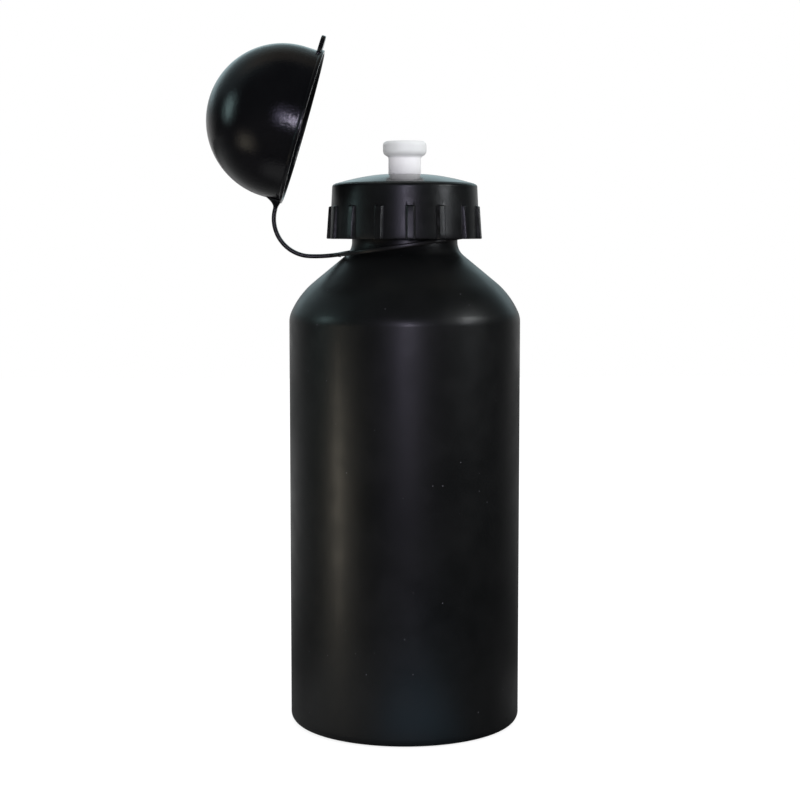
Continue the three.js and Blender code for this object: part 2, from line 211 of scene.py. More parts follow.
# the bottle's outside: matte baked lacquer
lacquerFacts = {
    "dark": "#030405",
    "light": "#08090a",
    "dust": "#74747c",
    "metal": "#b9bbbe",  # bare where the foot is rubbed
    "driftSize": 26,
    "peelSize": 1.6,
    "peelDepth": 0.006,
    "grainSize": 0.28,
    "grainDepth": 0.004,
    "patchSize": 7,
    "roughness": (0.36, 0.44),
    "gloss": 0.12,  # a thin shine over the matte
    "glossRoughness": 0.2,
    "dustCell": 2.6,
    "dustSize": 0.21,
    "dustChosen": (0.70, 0.98),  # of the cells, so that few of them hold a speck
    "dustShare": 0.75,
    "wearSize": 0.9,
    "wearEdge": (0.42, 0.52),
}
driftEdge = (0.35, 0.65)  # between the darker and the lighter parts of a slow change of colour
patchEdge = (0.3, 0.7)


def makeLacquer():
    # baked on impact-extruded aluminium: near black, wide soft sheen, faint orange peel, fine dust
    facts = lacquerFacts
    cell = facts["dustCell"]
    wear = ["noise", "spot", patternScale(facts["wearSize"]), 4.0, 0.7]
    peel = ["noise", "spot", patternScale(facts["peelSize"]), 1.0, 0.5]
    fine = ["noise", "spot", patternScale(facts["grainSize"]), 2.0, 0.5]
    rows = {
        "drift": ["noise", "spot", patternScale(facts["driftSize"]), 3.0, 0.5],
        "plain": ["colour", ["ease", "drift", *driftEdge], facts["dark"], facts["light"]],
        "cell": ["cells", "spot", patternScale(cell)],
        "near": ["ease", "cell", facts["dustSize"] / cell, 0.02],
        "chosen": ["ease", ["channels", "cell.Color"], *facts["dustChosen"]],
        "speck": ["MULTIPLY", ["MULTIPLY", "near", "chosen"], facts["dustShare"]],
        "dusty": ["colour", "speck", "plain", facts["dust"]],
        "worn": ["ease", ["MULTIPLY", ["rub"], wear], *facts["wearEdge"]],
        "patches": ["noise", "spot", patternScale(facts["patchSize"]), 4.0, 0.5],
        "peel": ["bump", peel, facts["peelDepth"] * mm],
        "fine": ["bump", fine, facts["grainDepth"] * mm, "peel"],
    }
    shader = {
        "Base Color": ["colour", "worn", "dusty", facts["metal"]],
        "Metallic": "worn",
        "Roughness": ["ease", "patches", *patchEdge, *facts["roughness"]],
        "Normal": "fine",
        "Coat Normal": "fine",
        "Coat Weight": facts["gloss"],
        "Coat Roughness": facts["glossRoughness"],
    }
    return newMaterial("matteBlackLacquer", rows, shader)


liningFacts = {
    "dark": "#8d7434",
    "light": "#a68a44",
    "streakSize": 3.5,
    "metallic": 0.85,
    "roughness": (0.28, 0.4),
}


def makeLining():
    # epoxy-phenolic lining: thin, gold and glossy over the bare aluminium
    facts = liningFacts
    rows = {"streak": ["noise", "spot", patternScale(facts["streakSize"]), 4.0, 0.5]}
    shader = {
        "Base Color": ["colour", "streak", facts["dark"], facts["light"]],
        "Roughness": ["ease", "streak", *patchEdge, *facts["roughness"]],
        "Metallic": facts["metallic"],
    }
    return newMaterial("goldEpoxyLining", rows, shader)


def makeMoulded(name, facts):
    # injection-moulded plastic: sparked tool texture, slight flow unevenness, rubbed high places, which
    # on the cap's rib flanks also carry a painted highlight
    drift, spark = patternScale(facts["driftSize"]), patternScale(facts["sparkSize"])
    rows = {
        "drift": ["noise", "spot", drift, 3.0, 0.5],
        "patches": ["noise", "spot", 3 * drift, 4.0, 0.5],
        "uneven": ["bump", ["noise", "spot", drift, 1.0, 0.5], facts["driftDepth"] * mm],
        "fine": ["bump", ["noise", "spot", spark, 2.0, 0.6], facts["sparkDepth"] * mm, "uneven"],
        "axes": ["axes", "spot"],
    }
    colour = ["colour", ["ease", "drift", *driftEdge], facts["dark"], facts["light"]]
    shader = {
        "Roughness": ["ease", "patches", *patchEdge, *facts["roughness"]],
        "Normal": "fine",
        "IOR": facts["ior"],
    }
    # rubbed places are lightened: wear, and on the cap's rib flanks also a painted highlight
    if "rubbed" in facts:
        rubNoise = ["noise", "spot", patternScale(facts["rubSize"]), 4.0, 0.65]
        wearAndPaintedHighlight = ["MULTIPLY", ["rub"], ["ease", rubNoise, *facts["rubEdge"]]]
        colour = ["colour", ["MULTIPLY", wearAndPaintedHighlight, facts["wearAndPaintedHighlightShare"]], colour, facts["rubbed"]]
    # painted light: below the given heights the stem is painted paler than the rest
    if "paintedLightStemColour" in facts:
        start, end = facts["paintedLightStemHeights"]
        rise = ["ease", "axes.Z", start * mm, end * mm]
        colour = ["colour", rise, facts["paintedLightStemColour"], colour]
        # a painted glow, though the nozzle is no lamp
        shader["Emission Color"] = facts["paintedGlowColour"]
        shader["Emission Strength"] = facts["paintedGlowStrength"]
    if "scatter" in facts:
        shader["Subsurface Weight"] = facts["scatter"]
        shader["Subsurface Radius"] = facts["scatterRadius"]
        shader["Subsurface Scale"] = facts["scatterScale"] * mm
    return newMaterial(name, rows, {"Base Color": colour, **shader})


capPlasticFacts = {
    "dark": "#090a0b",
    "light": "#0e1011",
    # the lighter colour of the rib flanks: partly wear, partly a painted highlight
    "rubbed": "#5d5c63",
    "wearAndPaintedHighlightShare": 0.22,
    "rubSize": 2.2,
    "rubEdge": (0.35, 0.7),
    "driftSize": 9.0,
    "driftDepth": 0.01,
    "sparkSize": 0.4,
    "sparkDepth": 0.018,
    "roughness": (0.29, 0.36),
    "ior": 1.49,
}

capTopFacts = {
    **capPlasticFacts,
    "sparkDepth": 0.0008,
    "driftDepth": 0.004,
    "roughness": (0.15, 0.19),
}

coverPlasticFacts = {
    "dark": "#08080a",
    "light": "#0c0c0e",
    "rubbed": "#4a4a50",
    "wearAndPaintedHighlightShare": 0.25,
    "rubSize": 2.2,
    "rubEdge": (0.35, 0.7),
    "driftSize": 12.0,
    "driftDepth": 0.02,
    "sparkSize": 0.6,
    "sparkDepth": 0.06,
    "roughness": (0.11, 0.14),
    "ior": 1.51,
}

strapPlasticFacts = {
    **coverPlasticFacts,
    "light": "#0f0e0e",
    "sparkDepth": 0.01,
    "roughness": (0.32, 0.38),
}

nozzlePlasticFacts = {
    "dark": "#d6d8d7",
    "light": "#dcdedd",
    "paintedLightStemColour": "#fcfcfc",
    "paintedLightStemHeights": (161.8, 163.4),  # painted light: the stem is painted paler than the head up to here, against the shade it sits in
    "paintedGlowColour": "#f4f6ff",
    "paintedGlowStrength": 0.06,  # a painted glow: the nozzle gives off light of its own
    "driftSize": 6.0,
    "driftDepth": 0.01,
    "sparkSize": 0.35,
    "sparkDepth": 0.006,
    "roughness": (0.42, 0.5),
    "ior": 1.51,
    "scatter": 0.25,
    "scatterRadius": (1.0, 1.0, 1.0),
    "scatterScale": 0.8,
}

gasketFacts = {
    "dark": "#c9c9c4",
    "light": "#d6d6d2",
    "driftSize": 5.0,
    "driftDepth": 0.01,
    "sparkSize": 0.4,
    "sparkDepth": 0.01,
    "roughness": (0.55, 0.65),
    "ior": 1.41,
    "scatter": 0.35,
    "scatterRadius": (1.0, 1.0, 0.95),
    "scatterScale": 1.0,
}

finishes = {
    "lacquer": makeLacquer(),
    "lining": makeLining(),
    # spark-textured, medium gloss
    "cap": makeMoulded("blackPolypropylene", capPlasticFacts),
    # smooth mould face, mirrors the backdrop
    "capTop": makeMoulded("polishedBlackPolypropylene", capTopFacts),
    # smoother, semi-gloss, slightly wavy
    "cover": makeMoulded("softBlackPolyethylene", coverPlasticFacts),
    # the same plastic, duller where it flexes
    "strap": makeMoulded("satinBlackPolyethylene", strapPlasticFacts),
    # soft, lets light in at thin edges; its stem is painted paler and the whole piece has a painted
    # glow
    "nozzle": makeMoulded("milkyPolyethylene", nozzlePlasticFacts),
    # pale, dull, rubbery
    "gasket": makeMoulded("foodGradeSilicone", gasketFacts),
}
print("materials made:", ", ".join(finishes))


def newShapeTree(name, sizes, rows):
    # a tree with a named input for the finish and for each size, whole where the size is; the rows end
    # in the node named shape
    tree = bpy.data.node_groups.new(name, "GeometryNodeTree")
    face = tree.interface
    face.new_socket("Geometry", in_out="INPUT", socket_type="NodeSocketGeometry")
    face.new_socket("Geometry", in_out="OUTPUT", socket_type="NodeSocketGeometry")
    for label, value in sizes.items():
        kind = "NodeSocketInt" if isinstance(value, int) else "NodeSocketFloat"
        face.new_socket(label, in_out="INPUT", socket_type=kind).default_value = value
    face.new_socket("Finish", in_out="INPUT", socket_type="NodeSocketMaterial")
    given = tree.nodes.new("NodeGroupInput").outputs
    made = {socket.name: socket for socket in given if socket.name}
    for label, row in rows.items():
        made[label] = addNode(tree, made, *row)
    coated = addNode(tree, made, "coat", ["realize", "shape"], "Finish")
    tree.links.new(coated, tree.nodes.new("NodeGroupOutput").inputs[0])
    return tree


# Turned pieces: Geometry Nodes spin a profile of points, each a radius, a height, and its shares of the
# ribs, of the thread and of the rubbing.
turningSizes = {
    "Columns": 96,
    "Ribs": 15.0,
    "Rib Angle": 0.0,
    "Rib Width": 0.002,
    "Rib Flank": 0.0003,
    "Rib Height": 0.0,
    "Thread Pitch": 0.004,
    "Thread Start": 0.0,
    "Thread Turns": 1.0,
    "Thread Height": 0.0,
    "Thread Width": 0.001,
}
threadRunIn = 0.125  # of a turn, at both ends of a thread

turningRows = {
    "count": ["count", "Geometry"],
    "grid": ["grid", ["ADD", "Columns", 1.0], "count"],
    "index": ["index"],
    "row": ["FLOORED_MODULO", "index", "count"],
    "column": ["FLOOR", ["DIVIDE", "index", "count"]],
    "angle": ["MULTIPLY", ["DIVIDE", "column", "Columns"], 2 * math.pi],
    "place": ["axes", ["sampledPlace", "Geometry", ["position"], "row"]],
    "ribbed": ["sampled", "Geometry", ["named", "ribShare"], "row"],
    "threaded": ["sampled", "Geometry", ["named", "threadShare"], "row"],
    "rubbed": ["sampled", "Geometry", ["named", "rub"], "row"],
    # ribs: how far round the surface the point is from the nearest rib's middle
    "step": ["DIVIDE", 2 * math.pi, "Ribs"],
    "ribTurn": ["DIVIDE", ["SUBTRACT", "angle", "Rib Angle"], "step"],
    "nearest": ["SUBTRACT", "ribTurn", ["ROUND", "ribTurn"]],
    "offMiddle": ["MULTIPLY", ["ABSOLUTE", "nearest"], ["MULTIPLY", "step", "place.X"]],
    "halfWidth": ["DIVIDE", "Rib Width", 2.0],
    "halfFlank": ["DIVIDE", "Rib Flank", 2.0],
    "ribFoot": ["ADD", "halfWidth", "halfFlank"],
    "onRib": ["ease", "offMiddle", "ribFoot", ["SUBTRACT", "halfWidth", "halfFlank"]],
    "ribLift": ["MULTIPLY", ["MULTIPLY", "onRib", "ribbed"], "Rib Height"],
    # thread: a round ridge on a right-hand helix that runs in and out at its ends
    "turn": ["DIVIDE", "angle", 2 * math.pi],
    "climbed": ["DIVIDE", ["SUBTRACT", "place.Z", "Thread Start"], "Thread Pitch"],
    "off": ["SUBTRACT", "climbed", "turn"],
    "whole": ["ROUND", "off"],
    "along": ["ADD", "turn", "whole"],
    "offRidge": ["MULTIPLY", ["ABSOLUTE", ["SUBTRACT", "off", "whole"]], "Thread Pitch"],
    "ridge": ["ease", "offRidge", "Thread Width", 0.0],
    "started": ["MULTIPLY", "ridge", ["ease", "along", 0.0, threadRunIn]],
    "left": ["SUBTRACT", "Thread Turns", "along"],
    "ended": ["MULTIPLY", "started", ["ease", "left", 0.0, threadRunIn]],
    "crest": ["MULTIPLY", "ended", "threaded"],
    "threadLift": ["MULTIPLY", "crest", "Thread Height"],
    "reach": ["ADD", "place.X", ["ADD", "ribLift", "threadLift"]],
    "x": ["MULTIPLY", "reach", ["COSINE", "angle"]],
    "y": ["MULTIPLY", "reach", ["SINE", "angle"]],
    # the crests of the thread are rubbed, and the flanks of the ribs are marked for rubbing and a
    # painted highlight
    "flank": ["MULTIPLY", ["MULTIPLY", "onRib", ["SUBTRACT", 1.0, "onRib"]], 4.0],
    "edges": ["MAXIMUM", ["MULTIPLY", "flank", "ribbed"], ["ABSOLUTE", "crest"]],
    "marked": ["store", "grid", "rub", ["MAXIMUM", "edges", "rubbed"]],
    "moved": ["move", "marked", ["point", "x", "y", "place.Z"]],
    "shape": ["smooth", ["merge", "moved", 2e-6]],
}
turningTree = newShapeTree("turnedPiece", turningSizes, turningRows)


def bakeNodes(name, source, tree, inputs):
    # runs the tree on the source mesh once and keeps only the plain result
    piece = bpy.data.objects.new(name, source)
    scene.collection.objects.link(piece)
    modifier = piece.modifiers.new("nodes", "NODES")
    modifier.node_group = tree
    for item in tree.interface.items_tree:
        if item.in_out == "INPUT" and item.name in inputs:
            modifier[item.identifier] = inputs[item.name]
    bpy.context.view_layer.update()
    evaluated = piece.evaluated_get(bpy.context.evaluated_depsgraph_get())
    mesh = bpy.data.meshes.new_from_object(evaluated)
    piece.modifiers.remove(modifier)
    piece.data = mesh
    mesh.name = name
    mesh.materials.clear()
    mesh.materials.append(inputs["Finish"])
    bpy.data.meshes.remove(source)
    return piece


def faceOutwards(mesh, sharpAngle):
    body = bmesh.new()
    body.from_mesh(mesh)
    bmesh.ops.dissolve_degenerate(body, edges=body.edges, dist=1e-7)
    if body.calc_volume(signed=True) < 0:
        bmesh.ops.reverse_faces(body, faces=body.faces)
    loose = sum(1 for edge in body.edges if not edge.is_manifold)
    body.to_mesh(mesh)
    body.free()
    mesh.shade_smooth()
    mesh.set_sharp_from_angle(angle=math.radians(sharpAngle))
    return loose


def turnPiece(name, profile, finish, columns, place, sharpAngle=40, **sizes):
    # profile points may leave out the shares at their end
    full = [tuple(p) + (0.0,) * (5 - len(p)) for p in profile]
    source = bpy.data.meshes.new(name + "Profile")
    source.from_pydata(
        [(p[0] * mm, 0, p[1] * mm) for p in full], [(i, i + 1) for i in range(len(full) - 1)], []
    )
    for slot, label in ((2, "ribShare"), (3, "threadShare"), (4, "rub")):
        values = np.array([p[slot] for p in full], np.float32)
        source.attributes.new(label, "FLOAT", "POINT").data.foreach_set("value", values)
    inputs = {"Columns": columns, "Finish": finish, **sizes}
    piece = bakeNodes(name, source, turningTree, inputs)
    piece.data.transform(place)
    loose = faceOutwards(piece.data, sharpAngle)
    print(name, len(piece.data.polygons), "faces,", loose, "open edges")
    return piece


# the bottle shell: from the hollow base round to the curled lip and down the inside
bottle = {
    "radius": 33.0,
    "wall": 0.9,
    "footEdge": 2.5,
    "footWidth": 5.5,
    "baseRise": 3.2,
    "baseLip": 1.2,
    "wallTop": 115.7,
    "edgeRound": 7.0,
    "edgeTurn": 24.0,
    "shoulderRound": 23.0,
    "shoulderTurn": 50.5,
    "neckFillet": 5.0,
    "neckRadius": 15.05,
    "neckLength": 12.5,
    "lipRound": 0.9,
    "threadPitch": 4.0,
    "threadStart": 4.5,
    "threadTurns": 1.5,
    "threadHeight": 1.15,
    "threadWidth": 1.5,
    "lipTurn": (-50, 230),  # the curled lip runs from its outside over the top and back under
    "lipRub": 0.55,
    "footRub": (0.95, 0.12),  # at the foot, and how much less it gets at each step up
    "liningEnd": 1.6,  # below the lip
    "liningFloor": (3.5, 6.0, 31.0),  # where its wall starts, its floor's top, and its floor's reach
    "columns": 288,
}

edgeCentre = (bottle["radius"] - bottle["edgeRound"], bottle["wallTop"])
roundGap = bottle["edgeRound"] - bottle["shoulderRound"]
shoulderCentre = polar(edgeCentre, roundGap, bottle["edgeTurn"])
shoulderEnd = polar(shoulderCentre, bottle["shoulderRound"], bottle["shoulderTurn"])
coneSin = math.sin(math.radians(bottle["shoulderTurn"]))
coneCos = math.cos(math.radians(bottle["shoulderTurn"]))
filletAxis = bottle["neckRadius"] + bottle["neckFillet"]
coneLength = (shoulderEnd[0] + bottle["neckFillet"] * coneCos - filletAxis) / coneSin
neckFoot = shoulderEnd[1] + coneLength * coneCos + bottle["neckFillet"] * coneSin
lipTop = neckFoot + bottle["neckLength"]


def shellSide(inset, fine):
    foot = (bottle["radius"] - bottle["footEdge"], bottle["footEdge"])
    neck = (filletAxis, neckFoot)
    start, turn = bottle["edgeTurn"], bottle["shoulderTurn"]
    return [
        *arc(foot, bottle["footEdge"] - inset, -90, 0, 8 * fine),
        *arc(edgeCentre, bottle["edgeRound"] - inset, 0, start, 6 * fine),
        *arc(shoulderCentre, bottle["shoulderRound"] - inset, start, turn, 6 * fine)[1:],
        *arc(neck, bottle["neckFillet"] + inset, 180 + turn, 180, 6 * fine),
    ]


def shellBase(inset):
    hollow = bottle["radius"] - bottle["footEdge"] - bottle["footWidth"]
    reach = hollow - bottle["baseLip"]
    rise = bottle["baseRise"]
    domeRound = (reach * reach + rise * rise) / (2 * rise)
    half = math.degrees(math.asin(reach / domeRound))
    crown = arc((0, rise - domeRound), domeRound + inset, 90, 90 - half, 10)
    return [*crown, (hollow - 0.4, inset + 0.12), (hollow, inset)]


def makeBottle():
    lipCentre = (bottle["neckRadius"] - bottle["wall"] / 2, lipTop - bottle["lipRound"])
    lip = arc(lipCentre, bottle["lipRound"], *bottle["lipTurn"], 16)
    outside = [(*p, 0, 0, 0) for p in shellBase(0)]
    side = shellSide(0, 2)
    footCount = 17  # points on the foot's round
    rub, fade = bottle["footRub"]
    outside += [(*p, 0, 0, max(0.0, rub - i * fade)) for i, p in enumerate(side[:footCount])]
    outside += [(*p, 0, 0, 0) for p in side[footCount:]]
    neckTop = (bottle["neckRadius"], lipCentre[1] - 1.1)
    outside += [(*p, 0, 1, 0) for p in between(side[-1], neckTop, 40)]
    lipPoints = [(*p, 0, 0, bottle["lipRub"]) for p in lip]
    inside = [*reversed(shellSide(bottle["wall"], 1)), *reversed(shellBase(bottle["wall"]))]
    sizes = {
        "Thread Pitch": bottle["threadPitch"] * mm,
        "Thread Start": (neckFoot + bottle["threadStart"]) * mm,
        "Thread Turns": bottle["threadTurns"],
        "Thread Height": bottle["threadHeight"] * mm,
        "Thread Width": bottle["threadWidth"] * mm,
    }
    profile = [*outside, *lipPoints, *inside]
    piece = turnPiece(
        "bottleShell",
        profile,
        finishes["lacquer"],
        bottle["columns"],
        Matrix.Translation(axisPlace),
        50,
        **sizes,
    )
    # the inner wall and the floor of the inside take the lining
    piece.data.materials.append(finishes["lining"])
    baseTop, floorTop, floorReach = [value * mm for value in bottle["liningFloor"]]
    liningTop = (lipTop - bottle["liningEnd"]) * mm
    for polygon in piece.data.polygons:
        away = polygon.center - axisPlace
        flat = Vector((away.x, away.y, 0))
        onWall = polygon.normal.dot(flat) < 0 and baseTop < away.z < liningTop
        upwards = polygon.normal.z > 0.5
        if onWall or (upwards and flat.length < floorReach and away.z < floorTop):
            polygon.material_index = 1
    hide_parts("bottle_shell")
    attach(piece, "bottle")


makeBottle()


# the screw cap: a shell with ribs, a threaded sleeve, and the post that the nozzle slides on
cap = {
    "height": 15.5,
    "topRadius": 20.65,
    "bottomRadius": 21.3,
    "edgeRound": 0.9,
    "plate": 1.8,
    "coneRise": 2.5,
    "crownLift": 0.3,
    "topShape": 1.6,  # 1 would be a straight cone, more is a fuller dome
    "skirtInner": 19.6,
    "sleeveOuter": 18.4,
    "sleeveInner": 16.8,
    "sleeveRise": 2.1,
    "gasketRoom": 2.1,
    "ribLength": 9.2,
    "ribTop": 0.75,
    "ribBottom": 1.0,
    "ribWidth": 2.1,
    "ribFlank": 0.6,
    "ribAngle": 8.0,
    "ribs": 15,
    "threadHeight": 0.9,
    "threadWidth": 1.0,
    "threadTurns": 1.2,
    "columns": 720,
    "well": 4.92,
    "wellDepth": 1.55,
    "seat": (12.2, 11.1, 0.9),  # the gasket's seat ends in a hollow: its radii and its depth
    # how high over the rib's end the rib is, and with what share of its full height
    "ribFade": ((0.16, 0), (0.06, 0.12), (-0.04, 0.62), (-0.14, 0.94), (-0.3, 1)),
    "small": 0.3,  # rounding of the skirt's end
}

ceiling = lipTop + cap["gasketRoom"]
capEdge = ceiling + cap["plate"]
capCrown = capEdge + cap["coneRise"]
skirtEnd = capEdge - cap["height"]

nozzle = {
    "stem": 4.62,
    "head": 6.19,
    "headHeight": 4.35,
    "headTop": 9.6,
    "underRound": 1.7,
    "topRound": 1.25,
    "seatDepth": 1.25,
    "wall": 0.72,
    "lipHeight": 1.2,
    "hole": 1.9,
    "holeLength": 1.8,
    "travel": 4.5,
    "columns": 144,
}
nozzleFoot = capCrown - nozzle["seatDepth"]
nozzleTop = capCrown + nozzle["headTop"]
nozzleLip = nozzleFoot + nozzle["lipHeight"]

post = {"radius": 2.9, "bead": 3.6, "beadHeight": 0.6, "tip": 1.4, "pin": 1.6, "gap": 0.3}


def capWall(height):
    taper = cap["topRadius"] - cap["bottomRadius"]
    return cap["bottomRadius"] + taper * (height - skirtEnd) / cap["height"]


def makeCap():
    place = Matrix.Translation(axisPlace)
    ribEnd = skirtEnd + cap["ribLength"]
    ratio = cap["ribTop"] / cap["ribBottom"]
    small = cap["small"]
    edge = (cap["topRadius"] - cap["edgeRound"], capEdge - cap["edgeRound"])
    wellFloor = capCrown - cap["wellDepth"]
    crown, foot = capCrown + cap["crownLift"], (edge[0], capEdge + 0.12)
    lead = cap["well"] + 0.25
    fall = crown - foot[1]
    seat, hollow, depth = cap["seat"]
    crownLine = [
        (lead + (foot[0] - lead) * t, crown - fall * t ** cap["topShape"])
        for t in np.linspace(0, 1, 17)
    ]
    bottomEdge = arc((cap["bottomRadius"] - small, skirtEnd + small), small, -90, 0, 4)
    outer = [
        (0, wellFloor),
        (cap["well"] - 0.2, wellFloor),
        (cap["well"], wellFloor + 0.2),
        (cap["well"], crown - 0.25),
        *crownLine,
        *arc(edge, cap["edgeRound"], 82, 0, 10),
        (capWall(ribEnd + 1.2), ribEnd + 1.2),
        *[
            (capWall(ribEnd + up), ribEnd + up, ratio * share)
            for up, share in cap["ribFade"]
        ],
        *[
            (capWall(ribEnd - down), ribEnd - down, ratio + (1 - ratio) * down / cap["ribLength"])
            for down in (2.5, 5.0, 7.5)
        ],
        *[(*p, 1.0) for p in reversed(bottomEdge)],
        (cap["skirtInner"] + 0.9, skirtEnd, 0.6),
        (cap["skirtInner"] + 0.25, skirtEnd),
        (cap["skirtInner"], skirtEnd + 0.25),
        (cap["skirtInner"] - 0.05, ceiling - 0.5),
        (cap["skirtInner"] - 0.5, ceiling),
        (cap["sleeveInner"] - 1.0, ceiling),
        (seat, ceiling),
        (hollow, ceiling + depth),
    ]
    shell = turnPiece(
        "capShell",
        [*outer, (0, ceiling + depth)],
        finishes["cap"],
        cap["columns"],
        place,
        35,
        **{
            "Ribs": float(cap["ribs"]),
            "Rib Angle": math.radians(cap["ribAngle"]),
            "Rib Width": cap["ribWidth"] * mm,
            "Rib Flank": cap["ribFlank"] * mm,
            "Rib Height": cap["ribBottom"] * mm,
        },
    )
    sleeveEnd = skirtEnd + cap["sleeveRise"]
    inner, outerSleeve = cap["sleeveInner"], cap["sleeveOuter"]
    top = ceiling + 0.3
    inside = [(*p, 0, -1) for p in between((inner, sleeveEnd + 0.9), (inner, ceiling - 0.6), 44)]
    sleeve = turnPiece(
        "capSleeve",
        [
            (outerSleeve, top),
            (outerSleeve, sleeveEnd + 0.2),
            (outerSleeve - 0.2, sleeveEnd),
            (inner + 0.3, sleeveEnd),
            (inner, sleeveEnd + 0.3),
            *inside,
            (inner, top),
            (outerSleeve, top),
        ],
        finishes["cap"],
        240,
        place,
        45,
        **{
            "Thread Pitch": bottle["threadPitch"] * mm,
            "Thread Start": (neckFoot + bottle["threadStart"] + bottle["threadPitch"] / 2) * mm,
            "Thread Turns": cap["threadTurns"],
            "Thread Height": cap["threadHeight"] * mm,
            "Thread Width": cap["threadWidth"] * mm,
        },
    )
    beadTop = nozzleLip + nozzle["travel"] + post["gap"] + post["beadHeight"]
    tip = beadTop + post["tip"]
    pinTop = nozzleTop - post["gap"]
    body, bead, pin = post["radius"], post["bead"], post["pin"]
    stem = turnPiece(
        "nozzlePost",
        [
            (0, wellFloor - 0.4),
            (body, wellFloor - 0.4),
            (body, beadTop - post["beadHeight"]),
            *arc((bead - 0.25, beadTop - 0.3), 0.28, -90, 60, 6),
            (body, beadTop + 0.6),
            (body, tip),
            (pin, tip + body - pin),
            *arc((pin - 0.3, pinTop - 0.3), 0.3, 0, 90, 5),
            (0, pinTop),
        ],
        finishes["cap"],
        96,
        place,
        35,
    )
    shell.data.materials.append(finishes["capTop"])
    for polygon in shell.data.polygons:
        if polygon.normal.z > 0.9 and polygon.center.z > capEdge * mm:
            polygon.material_index = 1
    for piece in (shell, sleeve, stem):
        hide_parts("screw_cap")
        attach(piece, "cap")


makeCap()


gasket = {
    "inner": 12.4,
    "outer": 16.5,
    "thickness": 1.5,
    "low": 0.3,
    "round": 0.25,
    "columns": 144,
}


def makeGasket():
    low = lipTop + gasket["low"]
    high = low + gasket["thickness"]
    r = gasket["round"]
    inner, outer = gasket["inner"], gasket["outer"]
    profile = [
        *arc((outer - r, low + r), r, -90, 0, 4),
        *arc((outer - r, high - r), r, 0, 90, 4),
        *arc((inner + r, high - r), r, 90, 180, 4),
        *arc((inner + r, low + r), r, 180, 270, 4),
        (outer - r, low),
    ]
    place = Matrix.Translation(axisPlace)
    piece = turnPiece("capGasket", profile, finishes["gasket"], gasket["columns"], place, 60)
    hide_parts("cap_gasket")
    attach(piece, "cap_seal")


def makeNozzle():
    headFoot = nozzleTop - nozzle["headHeight"]
    stem, head = nozzle["stem"], nozzle["head"]
    under, over = nozzle["underRound"], nozzle["topRound"]
    bore = stem - nozzle["wall"]
    boreTop = nozzleTop - nozzle["holeLength"]
    lip = post["radius"] + post["gap"]
    profile = [
        (lip, nozzleFoot + 0.15),
        (lip + 0.15, nozzleFoot),
        (stem - 0.2, nozzleFoot),
        (stem, nozzleFoot + 0.2),
        (stem, headFoot - 0.5),
        *arc((stem + 0.45, headFoot - 0.5), 0.45, 180, 110, 5),
        *arc((head - under, headFoot + under), under, -75, 0, 12),
        *arc((head - over, nozzleTop - over), over, 0, 90, 12),
        (nozzle["hole"] + 0.35, nozzleTop),
        *arc((nozzle["hole"] + 0.35, nozzleTop - 0.35), 0.35, 90, 180, 5),
        (nozzle["hole"], boreTop),
        (bore, boreTop - (bore - nozzle["hole"]) / 2),
        (bore, nozzleLip),
        (lip, nozzleLip - 0.3),
        (lip, nozzleFoot + 0.15),
    ]
    place = Matrix.Translation(axisPlace)
    piece = turnPiece("pullNozzle", profile, finishes["nozzle"], nozzle["columns"], place, 45)
    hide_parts("pull_nozzle")
    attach(piece, "nozzle")


makeGasket()
makeNozzle()


# the tether: a ring round the neck and a flat strap, one piece for each bend
ring = {"inner": 18.0, "outer": 19.4, "thickness": 1.2, "tilt": 8.3, "drop": 0.8, "round": 0.3}

strap = {
    "thickness": 1.2,
    "width": 5.0,
    "flare": 8.5,
    "links": 5,
    "nearRound": 43.0,
    "nearTurn": 10.56,
    "farRound": 10.54,
    "firstHinge": 0.52,
    "lastHinge": 26.31,
    "around": 28,
    "spacing": 0.22,
}

dome = {
    "lean": 16.3,
    "radius": 21.84,
    "wall": 0.75,
    "skirtHeight": 5.8,
    "skirtInner": 21.35,
    "skirtTurn": 3.5,  # of its side towards the axis, by the rim
    "rimRadius": 22.3,
    "rimHeight": 0.9,
    "rootRadius": 24.14,
    "rootRise": 1.33,
    "rootHeight": 4.9,
    "tabReach": 4.05,
    "tabWidth": 9.0,
    "tabFlare": 4.0,
    "tabThickness": 1.3,
    "tabRise": 0.78,
    "columns": 216,
}

ringLevel = neckFoot - ring["drop"]
farTurn = 90 + dome["lean"] + ring["tilt"] - strap["nearTurn"]
nearLength = strap["nearRound"] * math.radians(strap["nearTurn"])
strapLength = nearLength + strap["farRound"] * math.radians(farTurn)
hingeStep = (strap["lastHinge"] - strap["firstHinge"]) / strap["links"]


def strapPoint(distance):
    # the strap's middle line in millimetres and its heading, from the ring's edge
    heading = -math.radians(ring["tilt"])
    x = -ring["outer"] * math.cos(heading)
    z = ringLevel + ring["outer"] * math.sin(heading)
    if distance < 0:
        return x - distance * math.cos(heading), z - distance * math.sin(heading), heading
    lengths = (min(distance, nearLength), max(0, distance - nearLength))
    for length, radius in zip(lengths, (strap["nearRound"], strap["farRound"])):
        turned = heading + length / radius
        x -= radius * (math.sin(turned) - math.sin(heading))
        z -= radius * (math.cos(turned) - math.cos(heading))
        heading = turned
    return x, z, heading


strapSizes = {"Around": 24, "Squareness": 0.4}
strapRows = {
    "count": ["count", "Geometry"],
    "lap": ["ADD", "Around", 1.0],
    "index": ["index"],
    "row": ["FLOOR", ["DIVIDE", "index", "lap"]],
    "part": ["DIVIDE", ["FLOORED_MODULO", "index", "lap"], "Around"],
    "angle": ["MULTIPLY", "part", 2 * math.pi],
    "turned": ["sampled", "Geometry", ["named", "heading"], "row"],
    "centre": ["sampledPlace", "Geometry", ["position"], "row"],
}
